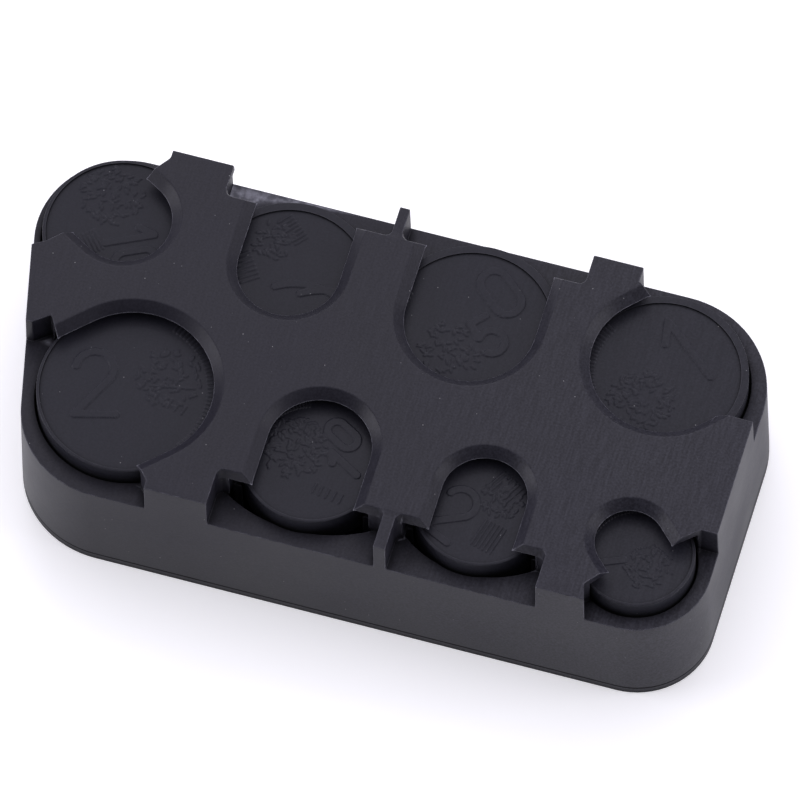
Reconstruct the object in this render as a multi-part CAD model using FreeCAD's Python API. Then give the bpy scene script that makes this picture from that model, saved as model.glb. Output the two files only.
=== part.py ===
import FreeCAD, Part
import math
import os

# Coin holder: a shallow moulded case with eight spring-loaded plungers, each
# under a U-shaped opening in a top web. Lengths in mm. The origin is the
# centre of the underside, X runs along the case, Y to the back, Z up.

# Heights above the table
BASE_TOP = 1.46
DECK_TOP = 18.57
WEB_BOTTOM = 22.94
WEB_TOP = 24.38
PLUNGER_TOP = 21.43

# Case outline at the deck: four corner circles joined by straight walls
CORNERS = [
    (-39.81, 13.26, 12.66),
    (-32.89, -12.16, 13.76),
    (42.05, -15.50, 10.42),
    (38.03, 11.48, 14.44),
]
WALL_DRAFT = 0.38
WEB_DRAFT = 0.15
WALL = 1.8
DECK = 1.6
DECK_BOTTOM = DECK_TOP - DECK
OUTSIDE = 60.0
CLEAR = 1.0
WALL_REACH = 32.0

# Wells and plungers
WELL_GAP = 0.3
TUBE_WALL = 1.2
TUBE_BOTTOM = 2.8
PLUNGER_HEIGHT = 5.94
PLUNGER_FACE = 1.4
SKIRT = 1.0
COIN_RIM_STEP = 0.25
LUG_REACH = 0.9
LUG_WIDTH = 3.0
LUG_HEIGHT = 1.45
LUG_GAP = 0.4

# Springs and the pegs that hold them
WIRE = 0.6
COIL_RADIUS = 4.0
COIL_TURNS = 7
COIL_END_GAP = 0.02
PEG_RADIUS = 3.2
BASE_PEG = 2.0
PLUNGER_PEG = 1.5

# Base plate
LIP_GAP = 0.1
LIP = 1.0
LIP_HEIGHT = 1.0

# Web openings: the rim flares out downwards into the opening
CUTOUT_FLARE = 1.5
EDGE_FLARE = 0.7
SLOT_GAP = 0.1
CORNER_ROUND = 1.0
MOUTH_OVERRUN = 0.5
SCOOP_FLOOR = 9.0
SCOOP_BACK = -19.0

# Each coin place: plunger centre and radius, width of the raised coin rim,
# web cutout centre and radius, the way the coin slides out, lug angles
PLACES = {
    "rear_1": (-40.22, 13.26, 11.02, 0.45, -40.02, 14.22, 8.00, 150, (-40, -128)),
    "rear_2": (-15.88, 12.26, 11.92, 1.15, -15.93, 12.91, 8.65, 90, (-52, -128)),
    "rear_3": (10.38, 12.21, 12.37, 1.15, 10.48, 11.86, 10.66, 90, (-52, -128)),
    "rear_4": (37.74, 12.01, 12.07, 1.05, 38.09, 12.66, 11.82, 45, (-52, -128)),
    "front_1": (-32.16, -10.09, 12.83, 0.40, -31.67, -10.33, 12.78, 224, (60, -60)),
    "front_2": (-4.76, -13.54, 9.84, 0.40, -4.16, -12.49, 8.70, -90, (60, 120)),
    "front_3": (19.53, -14.10, 9.39, 0.40, 19.78, -13.70, 7.39, -90, (60, 120)),
    "front_4": (41.97, -15.52, 8.13, 0.40, 40.86, -14.95, 6.24, -45, (60, 120)),
}

# Edges of the tabs and pillars that carry the web to the wall
REAR_EDGE = 20.96
FRONT_EDGE = -19.85
REAR_TAB_LEFT = -36.45
REAR_TAB_RIGHT = -27.60
REAR_RIB_LEFT = -3.66
REAR_RIB_RIGHT = -2.20
REAR_PILLAR_LEFT = 24.21
REAR_PILLAR_RIGHT = 31.35
FRONT_PILLAR_LEFT = -25.34
FRONT_PILLAR_RIGHT = -16.38
FRONT_RIB_LEFT = 7.42
FRONT_RIB_RIGHT = 9.17
FRONT_BLOCK_LEFT = 30.50
FRONT_BLOCK_RIGHT = 37.44
FRONT_BLOCK_LEAN = 1.92


def vec(x, y, z=0.0):
    return FreeCAD.Vector(x, y, z)


def cylinder(x, y, radius, low, high):
    return Part.makeCylinder(radius, high - low, vec(x, y, low))


# ---- the outline of the case ----

def outline(grow, z):
    """Closed wire round the four corner circles, grown outwards by grow."""
    arcs = []
    for i, (cx, cy, r) in enumerate(CORNERS):
        before = side_normal(CORNERS[i - 1], CORNERS[i])
        after = side_normal(CORNERS[i], CORNERS[(i + 1) % len(CORNERS)])
        arcs.append((cx, cy, r + grow, before, after))
    edges = []
    for i, (cx, cy, r, before, after) in enumerate(arcs):
        start = vec(cx + r * math.cos(before), cy + r * math.sin(before), z)
        turn = (after - before) % (2 * math.pi)
        middle = before + turn / 2
        half = vec(cx + r * math.cos(middle), cy + r * math.sin(middle), z)
        end = vec(cx + r * math.cos(after), cy + r * math.sin(after), z)
        edges.append(Part.Arc(start, half, end).toShape())
        nx, ny, nr, nbefore, _ = arcs[(i + 1) % len(arcs)]
        joined = vec(nx + nr * math.cos(nbefore), ny + nr * math.sin(nbefore), z)
        edges.append(Part.makeLine(end, joined))
    return Part.Wire(edges)


def side_normal(first, second):
    """Angle of the outward normal of the wall that touches both circles."""
    dx = second[0] - first[0]
    dy = second[1] - first[1]
    run = math.hypot(dx, dy)
    lean = math.acos((first[2] - second[2]) / run)
    return math.atan2(dy, dx) - lean


def drafted(low_grow, low, high_grow, high):
    return Part.makeLoft([outline(low_grow, low), outline(high_grow, high)], True, True)


# ---- cutters with a different outline below and above ----

def inset_corners(points, share):
    """Moves each side inwards by its own inset times share."""
    count = len(points)
    moved = []
    for i in range(count):
        ax, ay, _, at = points[i - 1]
        bx, by, radius, bt = points[i]
        cx, cy = points[(i + 1) % count][:2]
        p, d = shifted_side(ax, ay, bx, by, at * share)
        q, e = shifted_side(bx, by, cx, cy, bt * share)
        cross = d[0] * e[1] - d[1] * e[0]
        step = ((q[0] - p[0]) * e[1] - (q[1] - p[1]) * e[0]) / cross
        moved.append((p[0] + d[0] * step, p[1] + d[1] * step, radius))
    return moved


def shifted_side(ax, ay, bx, by, inset):
    run = math.hypot(bx - ax, by - ay)
    d = ((bx - ax) / run, (by - ay) / run)
    return (ax - d[1] * inset, ay + d[0] * inset), d


def rounded_wire(corners, z):
    """Closed wire through the corners, each turned by its own radius."""
    ends = []
    count = len(corners)
    for i in range(count):
        before = vec(*corners[i - 1][:2], z)
        corner = vec(*corners[i][:2], z)
        after = vec(*corners[(i + 1) % count][:2], z)
        ends.append(turned_corner(before, corner, after, corners[i][2]))
    edges = []
    for i in range(count):
        start, near, end = ends[i]
        if start != end:
            edges.append(Part.Arc(start, near, end).toShape())
        edges.append(Part.makeLine(end, ends[(i + 1) % count][0]))
    return Part.Wire(edges)


def turned_corner(before, corner, after, radius):
    """Start, middle and end of the arc that rounds a corner."""
    if radius == 0:
        return corner, corner, corner
    u = (before - corner).normalize()
    w = (after - corner).normalize()
    half = math.acos(u.dot(w)) / 2
    reach = radius / math.tan(half)
    centre = corner + (u + w).normalize() * (radius / math.sin(half))
    near = centre + (corner - centre).normalize() * radius
    return corner + u * reach, near, corner + w * reach


def window(points):
    """Opening through the web, with its lower outline carried to the deck."""
    upper = inset_corners(points, 0.0)
    lower = inset_corners(points, 1.0)
    through_web = Part.makeLoft(
        [rounded_wire(lower, WEB_BOTTOM), rounded_wire(upper, WEB_TOP)], True, True)
    above = prism(rounded_wire(upper, WEB_TOP), CLEAR)
    below = prism(rounded_wire(lower, DECK_TOP), WEB_BOTTOM - DECK_TOP)
    return [through_web, above, below]


def prism(wire, height):
    return Part.Face(wire).extrude(vec(0, 0, height))


def edge_window(left, right, edge, side):
    """Opening between two pillars; side is 1 at the back and -1 in front."""
    far = side * WALL_REACH
    left_run = (left, edge, CORNER_ROUND)
    right_run = (right, edge, CORNER_ROUND)
    if side > 0:
        ring = [left_run + (EDGE_FLARE,), right_run + (0.0,)]
        ring += [(right, far, 0, 0.0), (left, far, 0, 0.0)]
    else:
        ring = [right_run + (EDGE_FLARE,), left_run + (0.0,)]
        ring += [(left, far, 0, 0.0), (right, far, 0, 0.0)]
    return window(ring)


def corner_windows():
    """The open corners of the web, each reaching into the mouth of a corner cutout."""
    rear_left = [
        (REAR_TAB_LEFT, WALL_REACH, 0, 0), (-OUTSIDE, WALL_REACH, 0, 0),
        (-OUTSIDE, 1.25, 0, 0), (-49.28, 7.48, 0, 0), (-45.40, 11.36, 0, 0),
        (-39.80, 20.05, 0, 0), (REAR_TAB_LEFT, 24.55, CORNER_ROUND, 0),
    ]
    rear_right = [
        (OUTSIDE, 6.60, 0, 0), (OUTSIDE, WALL_REACH, 0, 0),
        (REAR_PILLAR_RIGHT, WALL_REACH, 0, 0), (REAR_PILLAR_RIGHT, 23.50, 0, 0),
        (35.50, 21.30, 0, 0), (45.50, 7.00, 0, 0),
    ]
    front_left = [
        (-OUTSIDE, -5.30, 0, 0), (-OUTSIDE, -WALL_REACH, 0, 0),
        (FRONT_PILLAR_LEFT, -WALL_REACH, 0, 0), (FRONT_PILLAR_LEFT, -24.40, CORNER_ROUND, 0),
        (-28.00, -21.43, 0, 0), (-42.60, -7.60, 0, 0), (-45.25, -3.49, 0, 0),
        (-47.47, -5.20, 0, 0),
    ]
    front_right = [
        (FRONT_BLOCK_RIGHT + FRONT_BLOCK_LEAN, -WALL_REACH, 0, 0), (OUTSIDE, -WALL_REACH, 0, 0),
        (OUTSIDE, -11.30, 0, 0), (49.91, -11.13, 0, 0), (45.40, -15.06, 0, 0),
        (40.10, -19.32, 0, 0), (36.73, -23.40, 0, 0),
    ]
    return [rear_left, rear_right, front_left, front_right]


def all_windows():
    shapes = []
    shapes += edge_window(REAR_TAB_RIGHT, REAR_RIB_LEFT, REAR_EDGE, 1)
    shapes += edge_window(REAR_RIB_RIGHT, REAR_PILLAR_LEFT, REAR_EDGE, 1)
    shapes += edge_window(FRONT_PILLAR_RIGHT, FRONT_RIB_LEFT, FRONT_EDGE, -1)
    shapes += edge_window(FRONT_RIB_RIGHT, FRONT_BLOCK_LEFT, FRONT_EDGE, -1)
    for points in corner_windows():
        shapes += window(points)
    return shapes


def u_wire(x, y, radius, way, run, z):
    """Half circle round the closed end and two straight sides."""
    a = math.radians(way)
    along = vec(math.cos(a), math.sin(a)) * run
    side = vec(-math.sin(a), math.cos(a)) * radius
    centre = vec(x, y, z)
    back = centre - vec(math.cos(a), math.sin(a)) * radius
    arc = Part.Arc(centre + side, back, centre - side).toShape()
    lines = [
        Part.makeLine(centre - side, centre - side + along),
        Part.makeLine(centre - side + along, centre + side + along),
        Part.makeLine(centre + side + along, centre + side),
    ]
    return Part.Wire([arc] + lines)


def cutout(x, y, radius, way):
    """Thumb opening in the web; its wall slopes inwards towards the coin."""
    run = radius
    if abs(way) == 90:
        run = radius + MOUTH_OVERRUN
    low = u_wire(x, y, radius - CUTOUT_FLARE, way, run, WEB_BOTTOM)
    high = u_wire(x, y, radius, way, run, WEB_TOP)
    sloped = Part.makeLoft([low, high], True, True)
    return [sloped, prism(high, CLEAR)]


def coin_slot(x, y, radius, way):
    """Room for the top coin to slide out under the web."""
    wire = u_wire(x, y, radius + SLOT_GAP, way, 2 * radius, DECK_TOP)
    return prism(wire, WEB_BOTTOM - DECK_TOP)


def scoop(left, nearest, right, back, z_low):
    """Wide shallow bay in the deck in front of a front well."""
    arc = Part.Arc(vec(*left, z_low), vec(*nearest, z_low), vec(*right, z_low)).toShape()
    lines = [
        Part.makeLine(vec(*right, z_low), vec(right[0], back, z_low)),
        Part.makeLine(vec(right[0], back, z_low), vec(left[0], back, z_low)),
        Part.makeLine(vec(left[0], back, z_low), vec(*left, z_low)),
    ]
    return prism(Part.Wire([arc] + lines), DECK_TOP - z_low)


# ---- the pieces ----

def lug_box(x, y, radius, angle, reach, width, low, high):
    box = Part.makeBox(radius + reach, width, high - low, vec(0, -width / 2, low))
    box.rotate(vec(0, 0, 0), vec(0, 0, 1), angle)
    box.translate(vec(x, y, 0))
    return box


def hollow():
    """Inside of the case between the wall and the well tubes."""
    room = prism(outline(-WALL, BASE_TOP - CLEAR), DECK_BOTTOM - BASE_TOP + CLEAR)
    tubes = []
    for x, y, r, *_ in PLACES.values():
        tubes.append(cylinder(x, y, r + WELL_GAP + TUBE_WALL, TUBE_BOTTOM, DECK_TOP))
    return room.cut(tubes)


def case_body():
    lower = drafted(WALL_DRAFT, BASE_TOP, 0.0, DECK_TOP)
    upper = drafted(0.0, DECK_TOP, -WEB_DRAFT, WEB_TOP)
    body = lower.fuse(upper).cut(hollow())
    wells = []
    tracks = []
    slots = []
    thumbs = []
    for x, y, r, _, cx, cy, cr, way, angles in PLACES.values():
        wells.append(cylinder(x, y, r + WELL_GAP, BASE_TOP - CLEAR, WEB_BOTTOM))
        slots.append(coin_slot(x, y, r, way))
        thumbs += cutout(cx, cy, cr, way)
        for angle in angles:
            reach = LUG_REACH + LUG_GAP
            width = LUG_WIDTH + 2 * LUG_GAP
            tracks.append(lug_box(x, y, r, angle, reach, width, BASE_TOP - CLEAR, DECK_BOTTOM))
    scoops = [
        scoop((-15.88, -20.08), (-4.76, -23.51), (6.50, -20.20), SCOOP_BACK, SCOOP_FLOOR),
        scoop((10.30, -20.20), (19.53, -23.56), (29.20, -20.20), SCOOP_BACK, SCOOP_FLOOR),
    ]
    body = body.cut(wells)
    body = body.cut(tracks)
    body = body.cut(slots)
    body = body.cut(scoops)
    body = body.cut(all_windows())
    body = body.cut(thumbs)
    return biggest(body).removeSplitter()


def biggest(shape):
    return max(shape.Solids, key=lambda solid: solid.Volume)


def base_plate():
    plate = prism(outline(WALL_DRAFT, 0.0), BASE_TOP)
    outer = prism(outline(-WALL - LIP_GAP, BASE_TOP), LIP_HEIGHT)
    inner = prism(outline(-WALL - LIP_GAP - LIP, BASE_TOP), LIP_HEIGHT)
    parts = [outer.cut(inner)]
    for x, y, *_ in PLACES.values():
        parts.append(cylinder(x, y, PEG_RADIUS, BASE_TOP, BASE_TOP + BASE_PEG))
    return plate.fuse(parts).removeSplitter()


def plunger(x, y, radius, rim, angles):
    bottom = PLUNGER_TOP - PLUNGER_HEIGHT
    under = PLUNGER_TOP - PLUNGER_FACE
    lugs = []
    for angle in angles:
        low = DECK_BOTTOM - LUG_HEIGHT - COIL_END_GAP
        high = DECK_BOTTOM - COIL_END_GAP
        lugs.append(lug_box(x, y, radius, angle, LUG_REACH, LUG_WIDTH, low, high))
    cup = cylinder(x, y, radius, bottom, PLUNGER_TOP).fuse(lugs)
    cup = cup.cut(cylinder(x, y, radius - SKIRT, bottom, under))
    cup = cup.cut(cylinder(x, y, radius - rim, PLUNGER_TOP - COIN_RIM_STEP, PLUNGER_TOP))
    peg = cylinder(x, y, PEG_RADIUS, under - PLUNGER_PEG, under)
    return cup.fuse(peg).removeSplitter()


def spring(x, y):
    low = BASE_TOP + WIRE / 2 + COIL_END_GAP
    high = PLUNGER_TOP - PLUNGER_FACE - WIRE / 2 - COIL_END_GAP
    path = Part.makeLongHelix((high - low) / COIL_TURNS, high - low, COIL_RADIUS)
    ring = Part.Wire(Part.makeCircle(WIRE / 2, vec(COIL_RADIUS, 0), vec(0, 1, 0)))
    coil = Part.Wire(path).makePipeShell([ring], True, True)
    coil.translate(vec(x, y, low))
    return coil


def save(shape, name):
    shape.exportStep(os.path.join("parts", name + ".step"))


os.makedirs("parts", exist_ok=True)
save(case_body(), "case_body")
save(base_plate(), "base_plate")
for place, (px, py, pr, rim_width, _, _, _, _, lug_angles) in PLACES.items():
    save(plunger(px, py, pr, rim_width, lug_angles), "plunger_" + place)
    save(spring(px, py), "spring_" + place)
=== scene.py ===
import math

import bpy
import bmesh
import numpy as np
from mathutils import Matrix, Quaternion, Vector
from mathutils.kdtree import KDTree


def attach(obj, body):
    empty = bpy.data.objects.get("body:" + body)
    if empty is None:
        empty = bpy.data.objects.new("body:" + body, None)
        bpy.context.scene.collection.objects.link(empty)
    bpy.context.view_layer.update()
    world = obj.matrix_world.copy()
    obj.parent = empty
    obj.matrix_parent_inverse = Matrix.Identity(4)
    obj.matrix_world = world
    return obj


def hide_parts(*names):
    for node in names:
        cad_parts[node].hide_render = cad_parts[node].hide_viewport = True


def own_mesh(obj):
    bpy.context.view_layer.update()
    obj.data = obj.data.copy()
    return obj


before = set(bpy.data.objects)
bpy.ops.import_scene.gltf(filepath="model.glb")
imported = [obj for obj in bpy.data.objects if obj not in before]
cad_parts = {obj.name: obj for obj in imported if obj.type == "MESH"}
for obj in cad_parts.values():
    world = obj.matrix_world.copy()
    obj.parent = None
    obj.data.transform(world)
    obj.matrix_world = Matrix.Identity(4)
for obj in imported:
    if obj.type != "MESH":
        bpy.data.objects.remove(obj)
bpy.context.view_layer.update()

MM = 0.001

# Places of the coins: centre, plunger radius, width of the raised rim (mm)
COINS = {
    "rear_1": (-40.22, 13.26, 11.02, 0.45),
    "rear_2": (-15.88, 12.26, 11.92, 1.15),
    "rear_3": (10.38, 12.21, 12.37, 1.15),
    "rear_4": (37.74, 12.01, 12.07, 1.05),
    "front_1": (-32.16, -10.09, 12.83, 0.40),
    "front_2": (-4.76, -13.54, 9.84, 0.40),
    "front_3": (19.53, -14.10, 9.39, 0.40),
    "front_4": (41.97, -15.52, 8.13, 0.40),
}
# Top of the plungers and depth of the recess inside their rim (mm)
PLUNGER_TOP = 21.43
RIM_STEP = 0.25
# Height of the line between case and base plate (mm)
PARTING = 1.46

# Coin faces: grid points along one side, gap above the recess floor and height of the relief (mm)
FACE_GRID = 230
FACE_LIFT = 0.01
RELIEF = 0.13
SLOPE = 0.11
BROAD_STROKE = 0.50
THIN_STROKE = 0.11
THIN_HEIGHT = 0.7
GRAIN_STRETCH = 0.45

# Rounding of the edges and welding distance (mm)
EDGE_ROUND = 0.14
PLUNGER_ROUND = 0.12
WELD = 0.03
# Case edges wholly below this height (mm) are out of sight and stay sharp
HIDDEN_BELOW = 5.0
ROUND_SEGMENTS = 2
NORMAL_WEIGHT = 90

# An edge is rounded if it turns by more than SHARP and has room. PINCH_ROOM, SIDE_ROOM,
# SAMPLE_STEP and LONE are multiples of the rounding width, SPLIT_END is in mm.
SHARP = math.radians(30.0)
PINCH = math.cos(math.radians(50.0))
PINCH_ROOM = 2.5
SIDE_ROOM = 2.3
SIDEWAYS = 0.35
SAMPLE_STEP = 0.7
LONE = 4.0
SPLIT_END = 0.45
SHORTEST_SPLIT = 3.0

# Camera: far away with a long lens, as the object shows almost no perspective
CAM_DISTANCE = 2228.0
CAM_AZIMUTH = 18.04
CAM_ELEVATION = 62.65
CAM_ROLL = -2.04
CAM_LENS = 720.7
CAM_TARGET = (0.81, 8.86)
CAM_SENSOR = 36.0
CAM_CLIP = (0.1, 20.0)

# Studio light: a soft overhead sky that fades towards the horizon
STUDIO_TINT = (0.93, 0.91, 1.0)
HORIZON_LIGHT = 0.08
ZENITH_LIGHT = 1.35
FRONT_LIGHT = 0.12
BACK_LIGHT = 1.55
# Three soft boxes: place (m), size (m) and power (W)
SOFT_BOXES = {
    "back_box": ((-0.25, 0.9, 0.9), 0.7, 3.0),
    "left_box": ((-0.8, -0.2, 0.3), 0.5, 3.6),
    "right_box": ((0.8, 0.1, 0.3), 0.5, 2.5),
}

# Floor: side (m), drop below the part (mm), glow that keeps it white
FLOOR_SIZE = 6.0
FLOOR_DROP = 0.02
FLOOR_GLOW = 0.28
FLOOR_ROUGH = 0.9
FLOOR_SCALE = 3.0
FLOOR_DETAIL = 2.0
FLOOR_DARK = (0.95, 0.95, 0.95, 1)
FLOOR_LIGHT = (0.97, 0.97, 0.97, 1)
WHITE = (1.0, 1.0, 1.0, 1.0)
BLACK = (0.0, 0.0, 0.0, 1.0)

# Marks on the plastic: scuffs in a lighter tone with painted light towards the right end, dust,
# painted shade in inner corners and narrow gaps, and the dark parting line
# Lighter tone of the scuffs, which also carries the painted light towards the right end
SCUFF_AND_LIGHT_TONE = (0.075, 0.075, 0.095, 1.0)
DUST_TONE = (0.50, 0.50, 0.50, 1.0)
# Painted shade in inner corners: black mixed in where the surface is closed in
CORNER_SHADE = 0.85
CORNER_SHADE_REACH = 1.6
CORNER_SHADE_BAND = (0.35, 0.95)
# Painted shade in narrow gaps, such as under the edges of the openings
GAP_SHADE = 0.55
GAP_SHADE_REACH = 0.3
GAP_SHADE_BAND = (0.5, 0.97)
SEAM_DARK = 0.95
SEAM_BAND = (0.08, 0.20)
# Extra roughness where the painted shade and the parting line are
SHADE_AND_SEAM_ROUGHNESS = 0.5

# Noise in the materials: scale and detail
CLOUD = (60.0, 4.0)
MOTTLE = (3200.0, 3.0)
SCRATCH = (900.0, 2.0)
SCRATCH_STRETCH = (1.0, 0.05, 0.4)
GRAIN = (4200.0, 2.0)
HAIR = (3000.0, 4.0)
HAIR_STRETCH = (1.0, 0.09, 1.0)
# Noise that breaks up the painted edge highlight
HIGHLIGHT_BREAKUP = (900.0, 3.0)
STEEL_CLOUD = (700.0, 3.0)

# Bands of a noise or a measure that are spread over a range
TONE_BAND = (0.35, 0.65)
WIDE_BAND = (0.3, 0.7)
RUBBED_BAND = (0.80, 1.45)
# Painted light: the scuffs grow over this band of x towards the right end
RIGHTWARD_BAND = (-0.01, 0.04)
RIGHTWARD_SPAN = (0.25, 1.0)
SCRATCH_HEIGHT = 0.7

# Painted highlight along outer edges, broken up by noise
HIGHLIGHT_REACH = 0.20
HIGHLIGHT_SAMPLES = 6
HIGHLIGHT_BAND = (0.985, 0.86)
HIGHLIGHT_OPEN_REACH = 0.8
HIGHLIGHT_OPEN_BAND = (0.72, 0.92)
HIGHLIGHT_BREAK_BAND = (0.38, 0.62)
HIGHLIGHT_BREAK_SPAN = (0.35, 1.0)
OPENNESS_SAMPLES = 8

# Dust
DUST_SCALE = 900.0
DUST_SIZE_BAND = (0.05, 0.08)
DUST_RARE_BAND = (0.80, 0.95)
DUST_STRENGTH = 0.40

# Shader settings
PLASTIC_IOR = 1.3
BUMP_STRENGTH = 0.3
BUMP_DISTANCE = 0.00003
STEEL_DARK = (0.42, 0.42, 0.43, 1)
STEEL_LIGHT = (0.62, 0.62, 0.63, 1)
STEEL_ROUGH = (0.25, 0.42)

# The two plastics: dark and light tone, roughness, tone of the painted edge highlight, amount of
# scuffing and of the painted light towards the right end
CASE_PLASTIC = ((0.0105, 0.0100, 0.0150, 1), (0.0165, 0.0158, 0.0230, 1),
                (0.40, 0.50), (0.24, 0.24, 0.28, 1), 0.34)
PLUNGER_PLASTIC = ((0.0090, 0.0090, 0.0140, 1), (0.0135, 0.0135, 0.0200, 1),
                   (0.44, 0.54), (0.05, 0.05, 0.06, 1), 0.12)


# ---- node helpers ----

def new_material(name):
    material = bpy.data.materials.new(name)
    material.use_nodes = True
    nodes = material.node_tree.nodes
    shader = nodes["Principled BSDF"]
    return material, nodes, material.node_tree.links, shader


def noise(nodes, links, coordinate, kind, stretch=(1, 1, 1)):
    """Noise texture in object space, stretched along an axis where asked."""
    mapping = nodes.new("ShaderNodeMapping")
    mapping.inputs["Scale"].default_value = stretch
    links.new(coordinate, mapping.inputs["Vector"])
    texture = nodes.new("ShaderNodeTexNoise")
    texture.inputs["Scale"].default_value = kind[0]
    texture.inputs["Detail"].default_value = kind[1]
    links.new(mapping.outputs["Vector"], texture.inputs["Vector"])
    return texture.outputs["Fac"]


def ramp(nodes, links, value, band, span):
    """Spreads the part of value that lies in band evenly over span, and holds it there outside."""
    node = nodes.new("ShaderNodeMapRange")
    node.inputs["From Min"].default_value = band[0]
    node.inputs["From Max"].default_value = band[1]
    node.inputs["To Min"].default_value = span[0]
    node.inputs["To Max"].default_value = span[1]
    links.new(value, node.inputs["Value"])
    return node.outputs["Result"]


def mix_colour(nodes, links, fac, first, last):
    node = nodes.new("ShaderNodeMix")
    node.data_type = "RGBA"
    links.new(fac, node.inputs["Factor"])
    for socket, value in ((node.inputs["A"], first), (node.inputs["B"], last)):
        if isinstance(value, tuple):
            socket.default_value = value
        else:
            links.new(value, socket)
    return node.outputs["Result"]


def join(nodes, links, operation, first, last):
    """One math node on two values, each a socket or a number."""
    node = nodes.new("ShaderNodeMath")
    node.operation = operation
    for socket, value in zip(node.inputs, (first, last)):
        if isinstance(value, float):
            socket.default_value = value
        else:
            links.new(value, socket)
    return node.outputs["Value"]


def dust_specks(nodes, links, where):
    """Tiny pale dots, far apart."""
    cells = nodes.new("ShaderNodeTexVoronoi")
    cells.inputs["Scale"].default_value = DUST_SCALE
    links.new(where, cells.inputs["Vector"])
    dot = ramp(nodes, links, cells.outputs["Distance"], DUST_SIZE_BAND, (1.0, 0.0))
    split = nodes.new("ShaderNodeSeparateXYZ")
    links.new(cells.outputs["Color"], split.inputs["Vector"])
    few = ramp(nodes, links, split.outputs["X"], DUST_RARE_BAND, (0.0, DUST_STRENGTH))
    return join(nodes, links, "MULTIPLY", dot, few)


def painted_edge_highlight(nodes, links, where):
    """Painted highlight mask: 1 on outer edges, broken up by noise, and 0 elsewhere."""
    # Painted highlight: a lighter tone on convex edges that face open space
    rounded = nodes.new("ShaderNodeBevel")
    rounded.samples = HIGHLIGHT_SAMPLES
    rounded.inputs["Radius"].default_value = HIGHLIGHT_REACH * MM
    flat = nodes.new("ShaderNodeNewGeometry")
    turn = nodes.new("ShaderNodeVectorMath")
    turn.operation = "DOT_PRODUCT"
    links.new(rounded.outputs["Normal"], turn.inputs[0])
    links.new(flat.outputs["True Normal"], turn.inputs[1])
    edge = ramp(nodes, links, turn.outputs["Value"], HIGHLIGHT_BAND, (0.0, 1.0))
    sky = openness(nodes, links, HIGHLIGHT_OPEN_REACH)
    open_sky = ramp(nodes, links, sky, HIGHLIGHT_OPEN_BAND, (0.0, 1.0))
    breakup = noise(nodes, links, where, HIGHLIGHT_BREAKUP)
    broken = ramp(nodes, links, breakup, HIGHLIGHT_BREAK_BAND, HIGHLIGHT_BREAK_SPAN)
    outer = join(nodes, links, "MULTIPLY", edge, open_sky)
    return join(nodes, links, "MULTIPLY", outer, broken)


def openness(nodes, links, reach):
    """How open the surface is within reach mm: low in corners and narrow gaps."""
    sky = nodes.new("ShaderNodeAmbientOcclusion")
    sky.samples = OPENNESS_SAMPLES
    sky.inputs["Distance"].default_value = reach * MM
    return sky.outputs["AO"]


def moulded_tone(nodes, links, cloud, mottle, dark, light):
    """Plastic colour, cloudy at large scale and mottled at small scale."""
    broad = ramp(nodes, links, cloud, TONE_BAND, (0.0, 0.5))
    small = ramp(nodes, links, mottle, TONE_BAND, (0.0, 0.5))
    tone = join(nodes, links, "ADD", broad, small)
    return mix_colour(nodes, links, tone, dark, light)


def scuff_and_right_light(nodes, links, where, mottle, along, scuff_and_light_amount):
    """Fine brushed scuffs in a lighter tone, growing towards the right end as painted light there.
    """
    # Painted light: the scuffs grow towards the right end so that end reads lighter
    painted_right_light = ramp(nodes, links, along, RIGHTWARD_BAND, RIGHTWARD_SPAN)
    hair = noise(nodes, links, where, HAIR, HAIR_STRETCH)
    streaks = join(nodes, links, "ADD", hair, mottle)
    rubbed = ramp(nodes, links, streaks, RUBBED_BAND, (0.0, scuff_and_light_amount))
    return join(nodes, links, "MULTIPLY", rubbed, painted_right_light)


def shade_and_seam_mask(nodes, links, height):
    """Painted shade in inner corners and narrow gaps, plus the dark parting line."""
    # Painted shade: black mixed in where the surroundings close in; the parting line is a real dark
    # joint
    deep = ramp(nodes, links, openness(nodes, links, CORNER_SHADE_REACH), CORNER_SHADE_BAND, (CORNER_SHADE, 0.0))
    fine = ramp(nodes, links, openness(nodes, links, GAP_SHADE_REACH), GAP_SHADE_BAND, (GAP_SHADE, 0.0))
    above = join(nodes, links, "SUBTRACT", height, PARTING * MM)
    away = join(nodes, links, "ABSOLUTE", above, 0.0)
    seam_band = (SEAM_BAND[0] * MM, SEAM_BAND[1] * MM)
    dirt = ramp(nodes, links, away, seam_band, (SEAM_DARK, 0.0))
    dark = join(nodes, links, "MAXIMUM", deep, fine)
    return join(nodes, links, "MAXIMUM", dark, dirt)


def surface_bump(nodes, links, scratch, grain):
    """Faint scratches over a fine grain."""
    bump = nodes.new("ShaderNodeBump")
    bump.inputs["Strength"].default_value = BUMP_STRENGTH
    bump.inputs["Distance"].default_value = BUMP_DISTANCE
    lines = ramp(nodes, links, scratch, WIDE_BAND, (0.0, SCRATCH_HEIGHT))
    links.new(join(nodes, links, "ADD", lines, grain), bump.inputs["Height"])
    return bump.outputs["Normal"]


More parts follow.
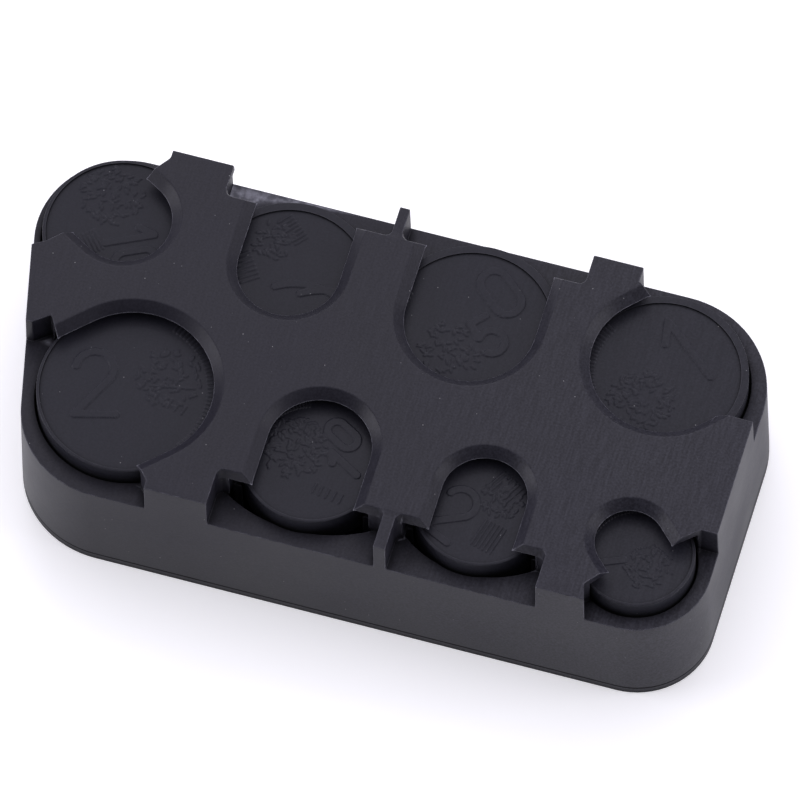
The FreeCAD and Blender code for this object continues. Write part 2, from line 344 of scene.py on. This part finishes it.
def plastic(name, dark, light, rough_span, highlight_tone, scuff_and_light_amount):
    """Charcoal moulded plastic: mottled tone, scuffs with painted light towards the right end,
    dust, painted edge highlights, painted shade in corners and gaps, dark parting line.
    """
    material, nodes, links, shader = new_material(name)
    where = nodes.new("ShaderNodeTexCoord").outputs["Object"]
    cloud = noise(nodes, links, where, CLOUD)
    mottle = noise(nodes, links, where, MOTTLE)
    scratch = noise(nodes, links, where, SCRATCH, SCRATCH_STRETCH)
    grain = noise(nodes, links, where, GRAIN)
    side = nodes.new("ShaderNodeSeparateXYZ")
    links.new(where, side.inputs["Vector"])
    base = moulded_tone(nodes, links, cloud, mottle, dark, light)
    # Scuffs, and painted light that makes the right end lighter
    scuff_and_light = scuff_and_right_light(nodes, links, where, mottle, side.outputs["X"], scuff_and_light_amount)
    base = mix_colour(nodes, links, scuff_and_light, base, SCUFF_AND_LIGHT_TONE)
    # Painted highlight: a lighter tone along outer edges
    base = mix_colour(nodes, links, painted_edge_highlight(nodes, links, where), base, highlight_tone)
    base = mix_colour(nodes, links, dust_specks(nodes, links, where), base, DUST_TONE)
    # Painted shade in corners and gaps, plus the dark parting line, mixed in as black
    corner = shade_and_seam_mask(nodes, links, side.outputs["Z"])
    base = mix_colour(nodes, links, corner, base, BLACK)
    links.new(base, shader.inputs["Base Color"])
    rough = ramp(nodes, links, cloud, WIDE_BAND, rough_span)
    duller = join(nodes, links, "MULTIPLY", corner, SHADE_AND_SEAM_ROUGHNESS)
    links.new(join(nodes, links, "ADD", rough, duller), shader.inputs["Roughness"])
    shader.inputs["IOR"].default_value = PLASTIC_IOR
    links.new(surface_bump(nodes, links, scratch, grain), shader.inputs["Normal"])
    return material


def wire_steel(name):
    """Bare spring wire, slightly cloudy."""
    material, nodes, links, shader = new_material(name)
    where = nodes.new("ShaderNodeTexCoord").outputs["Object"]
    cloud = noise(nodes, links, where, STEEL_CLOUD)
    tone = mix_colour(nodes, links, cloud, STEEL_DARK, STEEL_LIGHT)
    links.new(tone, shader.inputs["Base Color"])
    rough = ramp(nodes, links, cloud, WIDE_BAND, STEEL_ROUGH)
    links.new(rough, shader.inputs["Roughness"])
    shader.inputs["Metallic"].default_value = 1.0
    return material


# ---- pieces ----

def give(piece, material):
    """Gives the piece its only material."""
    piece.data.materials.clear()
    piece.data.materials.append(material)


def sharp_edges(shape):
    """Edges between two faces that turn by more than SHARP."""
    edges = []
    for edge in shape.edges:
        if len(edge.link_faces) == 2 and edge.calc_face_angle(0.0) > SHARP:
            edges.append(edge)
    return edges


def split_long_edges(shape, end):
    """Cuts both ends off every long sharp edge, so a tight end doesn't keep the rest sharp."""
    for edge in sharp_edges(shape):
        if edge.calc_length() < SHORTEST_SPLIT * end:
            continue
        rest, vert = bmesh.utils.edge_split(edge, edge.verts[0], end / edge.calc_length())
        longer = max((edge, rest), key=lambda part: part.calc_length())
        far = longer.other_vert(vert)
        bmesh.utils.edge_split(longer, far, end / longer.calc_length())


def direction(edge):
    return (edge.verts[1].co - edge.verts[0].co).normalized()


def tree_of(points):
    tree = KDTree(max(1, len(points)))
    for index, point in enumerate(points):
        tree.insert(point, index)
    tree.balance()
    return tree


def pinched_corners(shape, sharp):
    """Corners where two sharp edges leave at a narrow angle."""
    kept = set(sharp)
    corners = []
    for vert in shape.verts:
        ways = [(edge.other_vert(vert).co - vert.co).normalized()
                for edge in vert.link_edges if edge in kept]
        if any(ways[i].dot(ways[j]) > PINCH for i in range(len(ways)) for j in range(i)):
            corners.append(vert.co.copy())
    return corners


def samples_along(sharp, step):
    """Points spaced about a step apart along every edge, with the edge each belongs to."""
    points = []
    owners = []
    for index, edge in enumerate(sharp):
        count = max(1, int(edge.calc_length() / step))
        for i in range(count):
            points.append(edge.verts[0].co.lerp(edge.verts[1].co, (i + 0.5) / count))
            owners.append(index)
    return points, owners


def crowded_edges(shape, sharp, width, hidden_below):
    """Edges that stay sharp: hidden, near a pinched corner, close beside another, or stubs."""
    crowded = set()
    for index, edge in enumerate(sharp):
        if max(vert.co.z for vert in edge.verts) < hidden_below:
            crowded.add(index)
    corners = pinched_corners(shape, sharp)
    corner_tree = tree_of(corners)
    points, owners = samples_along(sharp, SAMPLE_STEP * width)
    point_tree = tree_of(points)
    ways = [direction(edge) for edge in sharp]
    for point, owner in zip(points, owners):
        if owner in crowded:
            continue
        if corners and corner_tree.find(point)[2] < PINCH_ROOM * width:
            crowded.add(owner)
            continue
        for place, found, gap in point_tree.find_range(point, SIDE_ROOM * width):
            other = owners[found]
            lean = SIDEWAYS * gap
            offset = place - point
            beside_own = abs(offset.dot(ways[owner])) < lean
            beside_other = abs(offset.dot(ways[other])) < lean
            if other != owner and beside_own and beside_other:
                crowded.update((owner, other))
    return crowded | lone_stubs(sharp, crowded, LONE * width)


def lone_stubs(sharp, crowded, short):
    """Short rounded edges left with no rounded neighbour at one end."""
    meeting = {}
    for index, edge in enumerate(sharp):
        if index not in crowded:
            for vert in edge.verts:
                meeting[vert] = meeting.get(vert, 0) + 1
    stubs = set()
    for index, edge in enumerate(sharp):
        if index in crowded or edge.calc_length() >= short:
            continue
        if min(meeting[vert] for vert in edge.verts) == 1:
            stubs.add(index)
    return stubs


def softened_copy(node, name, body, material, width, hidden_below=0.0):
    """The CAD shape with its edges rounded as a moulding's are."""
    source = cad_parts[node]
    mesh = source.data.copy()
    mesh.name = name
    piece = bpy.data.objects.new(name, mesh)
    bpy.context.scene.collection.objects.link(piece)
    shape = bmesh.new()
    shape.from_mesh(mesh)
    bmesh.ops.remove_doubles(shape, verts=shape.verts, dist=WELD * MM)
    bmesh.ops.dissolve_degenerate(shape, edges=shape.edges, dist=WELD * MM)
    weight = shape.edges.layers.float.new("bevel_weight_edge")
    split_long_edges(shape, SPLIT_END * MM)
    sharp = sharp_edges(shape)
    crowded = crowded_edges(shape, sharp, width, hidden_below)
    for index, edge in enumerate(sharp):
        edge[weight] = 0.0 if index in crowded else 1.0
        edge.smooth = index not in crowded
    shape.to_mesh(mesh)
    shape.free()
    mesh.polygons.foreach_set("use_smooth", [True] * len(mesh.polygons))
    bevel = piece.modifiers.new("edge_round", "BEVEL")
    bevel.width = width
    bevel.segments = ROUND_SEGMENTS
    bevel.limit_method = "WEIGHT"
    bevel.use_clamp_overlap = False
    bevel.loop_slide = False
    weigh = piece.modifiers.new("face_normals", "WEIGHTED_NORMAL")
    weigh.mode = "FACE_AREA_WITH_ANGLE"
    weigh.weight = NORMAL_WEIGHT
    weigh.keep_sharp = True
    give(piece, material)
    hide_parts(node)
    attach(piece, body)
    return piece


def coil_spring(coin):
    """The coil under one plunger."""
    node = "spring_" + coin
    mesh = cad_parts[node].data.copy()
    piece = bpy.data.objects.new("coil_" + coin, mesh)
    bpy.context.scene.collection.objects.link(piece)
    give(piece, steel)
    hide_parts(node)
    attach(piece, "case")
    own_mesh(piece)


# ---- coin faces: plain numerals and patterns, laid out as the marks they stand for ----

def arc_points(cx, cy, radius, first, last):
    angles = np.radians(np.linspace(first, last, 40))
    return np.stack([cx + radius * np.cos(angles), cy + radius * np.sin(angles)], 1)


def line_points(x0, y0, x1, y1):
    steps = np.linspace(0.0, 1.0, 30)[:, None]
    return np.array([[x0, y0]]) * (1 - steps) + np.array([[x1, y1]]) * steps


DIGITS = {
    "0": [arc_points(0.0, 0.22, 0.26, 0, 180), arc_points(0.0, -0.22, 0.26, 180, 360),
          line_points(-0.26, -0.22, -0.26, 0.22), line_points(0.26, -0.22, 0.26, 0.22)],
    "1": [line_points(0.05, -0.5, 0.05, 0.5), line_points(0.05, 0.5, -0.17, 0.24)],
    "2": [arc_points(0.0, 0.22, 0.26, 170, -35), line_points(0.21, 0.07, -0.26, -0.47),
          line_points(-0.26, -0.47, 0.30, -0.47)],
    "5": [line_points(0.24, 0.48, -0.18, 0.48), line_points(-0.18, 0.48, -0.20, 0.06),
          arc_points(0.0, -0.18, 0.30, 125, -140)],
}


def numeral(digit, x, y, height, angle):
    """Strokes of one digit, centred on x, y and turned by angle."""
    lean = math.radians(angle)
    turn = np.array([[math.cos(lean), math.sin(lean)], [-math.sin(lean), math.cos(lean)]])
    return [stroke @ turn * height + np.array([[x, y]]) for stroke in DIGITS[digit]]


def away_from(strokes, grid):
    """Distance of every grid point from the nearest stroke."""
    nearest = np.full(len(grid), 1e9)
    for stroke in strokes:
        for point in stroke:
            gap = (grid[:, 0] - point[0]) ** 2 + (grid[:, 1] - point[1]) ** 2
            nearest = np.minimum(nearest, gap)
    return np.sqrt(nearest)


def raised(distance, half_width):
    """1 within half_width, sloping down to 0 outside it."""
    return np.clip((half_width + SLOPE - distance) / SLOPE, 0.0, 1.0)


def specks(grid, seed, x, y, reach, count, size):
    """Small raised grains strewn over a round patch."""
    rng = np.random.default_rng(seed)
    radius = reach * np.sqrt(rng.random(count))
    turn = rng.random(count) * 2 * math.pi
    grains = np.stack([x + radius * np.cos(turn), y + radius * np.sin(turn)], 1)
    tilt = rng.random(count) * math.pi
    height = np.zeros(len(grid))
    for (gx, gy), lean in zip(grains, tilt):
        dx = grid[:, 0] - gx
        dy = grid[:, 1] - gy
        along = dx * math.cos(lean) + dy * math.sin(lean)
        across = dy * math.cos(lean) - dx * math.sin(lean)
        away = np.hypot(along * GRAIN_STRETCH, across)
        height = np.maximum(height, raised(away, size))
    return height


def hatch(x, y, length, angle, count, pitch):
    """Short parallel raised lines."""
    lean = math.radians(angle)
    strokes = []
    for i in range(count):
        shift = (i - (count - 1) / 2) * pitch
        cx = x - math.sin(lean) * shift
        cy = y + math.cos(lean) * shift
        dx = math.cos(lean) * length / 2
        dy = math.sin(lean) * length / 2
        strokes.append(line_points(cx - dx, cy - dy, cx + dx, cy + dy))
    return strokes


def rays(radius, first, last, count, length):
    """Short ticks round the edge of the face."""
    strokes = []
    for turn in np.linspace(first, last, count):
        x = math.cos(math.radians(turn))
        y = math.sin(math.radians(turn))
        inner = radius - length
        strokes.append(line_points(radius * x, radius * y, inner * x, inner * y))
    return strokes


# Marks of each face (mm from its centre): broad strokes, thin strokes, and the patch of grains
# as seed, centre x and y, reach, number and size
FACE_MARKS = {
    "front_1": (
        numeral("2", -4.9, -0.4, 10.2, 15),
        [line_points(2.6, 1.3, 8.6, 2.5)] + hatch(5.5, -0.4, 1.3, 75, 6, 1.1)
        + rays(12.0, -35, 72, 34, 1.1),
        (3, 5.0, 3.2, 4.6, 90, 0.16)),
    "rear_4": (
        numeral("1", 2.3, 4.4, 10.4, 50),
        rays(10.6, 150, 285, 40, 1.2),
        (5, -1.8, -4.6, 4.6, 120, 0.16)),
    "rear_3": (
        numeral("0", 2.6, 6.0, 7.6, 48) + numeral("5", 2.7, -1.0, 6.0, 48),
        rays(10.9, 165, 345, 48, 1.3),
        (7, -1.6, -4.4, 4.4, 80, 0.15)),
    "rear_1": (
        numeral("1", 1.2, -0.6, 7.0, -64) + numeral("0", 3.2, -4.0, 6.2, -64),
        hatch(-3.6, -2.8, 3.2, -50, 5, 0.55),
        (9, -3.0, 5.0, 4.6, 110, 0.14)),
    "rear_2": (
        [arc_points(3.5, -9.5, 9.4, 62, 122), arc_points(8.0, -11.0, 11.0, 92, 122)],
        hatch(-6.3, 0.2, 2.6, 35, 7, 0.7) + hatch(-1.6, 7.6, 2.0, 50, 8, 0.6)
        + rays(10.4, 190, 265, 22, 1.2),
        (11, -3.6, 5.4, 3.0, 50, 0.14)),
    "front_2": (
        numeral("0", 2.9, 4.6, 5.0, 60) + numeral("1", 4.2, 0.2, 5.0, 60),
        hatch(3.4, -4.6, 1.4, 80, 5, 1.0) + rays(9.2, 110, 190, 26, 1.1),
        (13, -2.8, 1.0, 4.6, 150, 0.15)),
    "front_3": (
        numeral("2", -3.6, -2.2, 8.4, -25),
        hatch(2.2, -4.4, 4.2, 75, 6, 0.6) + hatch(2.6, 3.2, 3.4, 60, 7, 0.7)
        + rays(8.6, 95, 150, 14, 1.2),
        (15, 2.6, 1.6, 3.0, 60, 0.14)),
    "front_4": (
        [line_points(-4.6, -2.7, -1.5, -1.4)],
        rays(7.4, 60, 175, 26, 1.0)
        + [arc_points(2.0, -1.4, 2.9, 20, 310), arc_points(2.0, -1.4, 1.7, 100, 400)],
        (17, 2.2, -1.6, 3.4, 60, 0.14)),
}


def face_height(coin, grid):
    """Relief of one coin face from 0 to 1."""
    broad, thin, patch = FACE_MARKS[coin]
    height = specks(grid, *patch) * THIN_HEIGHT
    height = np.maximum(height, raised(away_from(broad, grid), BROAD_STROKE))
    return np.maximum(height, raised(away_from(thin, grid), THIN_STROKE) * THIN_HEIGHT)


def coin_face(coin, x, y, radius):
    """Disc with the relief, on the floor of the plunger's shallow recess."""
    side = np.linspace(-1.0, 1.0, FACE_GRID)
    u, v = np.meshgrid(side, side)
    gx = (u * np.sqrt(1 - v * v / 2) * radius).ravel()
    gy = (v * np.sqrt(1 - u * u / 2) * radius).ravel()
    relief = face_height(coin, np.stack([gx, gy], 1))
    z = np.full(len(gx), PLUNGER_TOP - RIM_STEP + FACE_LIFT) + relief * RELIEF
    points = np.stack([gx + x, gy + y, z], 1) * MM
    faces = []
    for row in range(FACE_GRID - 1):
        for column in range(FACE_GRID - 1):
            first = row * FACE_GRID + column
            faces.append((first, first + 1, first + FACE_GRID + 1, first + FACE_GRID))
    mesh = bpy.data.meshes.new("face_" + coin)
    mesh.from_pydata(points.tolist(), [], faces)
    mesh.polygons.foreach_set("use_smooth", [True] * len(mesh.polygons))
    piece = bpy.data.objects.new("face_" + coin, mesh)
    bpy.context.scene.collection.objects.link(piece)
    give(piece, plunger_black)
    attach(piece, "coin_" + coin)


# ---- stage ----

def white_floor():
    """Pale floor just under the part, bright enough to render white."""
    bpy.ops.mesh.primitive_plane_add(size=FLOOR_SIZE, location=(0, 0, -FLOOR_DROP * MM))
    floor = bpy.context.object
    floor.name = "floor"
    material, nodes, links, shader = new_material("floor_white")
    where = nodes.new("ShaderNodeTexCoord").outputs["Object"]
    cloud = noise(nodes, links, where, (FLOOR_SCALE, FLOOR_DETAIL))
    tone = mix_colour(nodes, links, cloud, FLOOR_DARK, FLOOR_LIGHT)
    links.new(tone, shader.inputs["Base Color"])
    shader.inputs["Roughness"].default_value = FLOOR_ROUGH
    shader.inputs["Emission Color"].default_value = WHITE
    shader.inputs["Emission Strength"].default_value = FLOOR_GLOW
    floor.data.materials.append(material)


def studio_sky():
    """Sky that is bright overhead and towards the back."""
    world = bpy.data.worlds.new("studio")
    bpy.context.scene.world = world
    world.use_nodes = True
    nodes = world.node_tree.nodes
    links = world.node_tree.links
    background = nodes["Background"]
    background.inputs["Color"].default_value = STUDIO_TINT + (1,)
    ray = nodes.new("ShaderNodeTexCoord").outputs["Generated"]
    split = nodes.new("ShaderNodeSeparateXYZ")
    links.new(ray, split.inputs["Vector"])
    height = ramp(nodes, links, split.outputs["Z"], (0.0, 1.0), (HORIZON_LIGHT, ZENITH_LIGHT))
    depth = ramp(nodes, links, split.outputs["Y"], (-1.0, 1.0), (FRONT_LIGHT, BACK_LIGHT))
    links.new(join(nodes, links, "MULTIPLY", height, depth), background.inputs["Strength"])


def area(name, place, size, power):
    """Square soft box that faces the middle of the part's underside."""
    light = bpy.data.lights.new(name, "AREA")
    light.size = size
    light.energy = power
    light.color = STUDIO_TINT
    piece = bpy.data.objects.new(name, light)
    piece.location = place
    piece.rotation_euler = (-Vector(place)).to_track_quat("-Z", "Y").to_euler()
    bpy.context.scene.collection.objects.link(piece)


def camera():
    azimuth = math.radians(CAM_AZIMUTH)
    elevation = math.radians(CAM_ELEVATION)
    level = math.cos(elevation)
    away = Vector((math.sin(azimuth) * level, -math.cos(azimuth) * level, math.sin(elevation)))
    target = Vector((CAM_TARGET[0] * MM, CAM_TARGET[1] * MM, 0))
    data = bpy.data.cameras.new("camera")
    data.lens = CAM_LENS
    data.sensor_width = CAM_SENSOR
    data.clip_start = CAM_CLIP[0]
    data.clip_end = CAM_CLIP[1]
    piece = bpy.data.objects.new("camera", data)
    piece.location = target + away * CAM_DISTANCE * MM
    turn = (-away).to_track_quat("-Z", "Y")
    piece.rotation_mode = "QUATERNION"
    roll = Vector((0, 0, 1))
    piece.rotation_quaternion = turn @ Quaternion(roll, math.radians(CAM_ROLL))
    bpy.context.scene.collection.objects.link(piece)
    bpy.context.scene.camera = piece


case_black = plastic("case_charcoal", *CASE_PLASTIC)
plunger_black = plastic("plunger_charcoal", *PLUNGER_PLASTIC)
steel = wire_steel("spring_wire")

softened_copy("case_body", "case_moulding", "case", case_black, EDGE_ROUND * MM,
              HIDDEN_BELOW * MM)
softened_copy("base_plate", "base_moulding", "case", case_black, EDGE_ROUND * MM)
for coin, (x, y, radius, rim) in COINS.items():
    softened_copy("plunger_" + coin, "coin_place_" + coin, "coin_" + coin,
                  plunger_black, PLUNGER_ROUND * MM)
    coin_face(coin, x, y, radius - rim)
    coil_spring(coin)

camera()
white_floor()
studio_sky()
for name, (place, size, power) in SOFT_BOXES.items():
    area(name, place, size, power)
bpy.context.scene.view_settings.view_transform = "Standard"
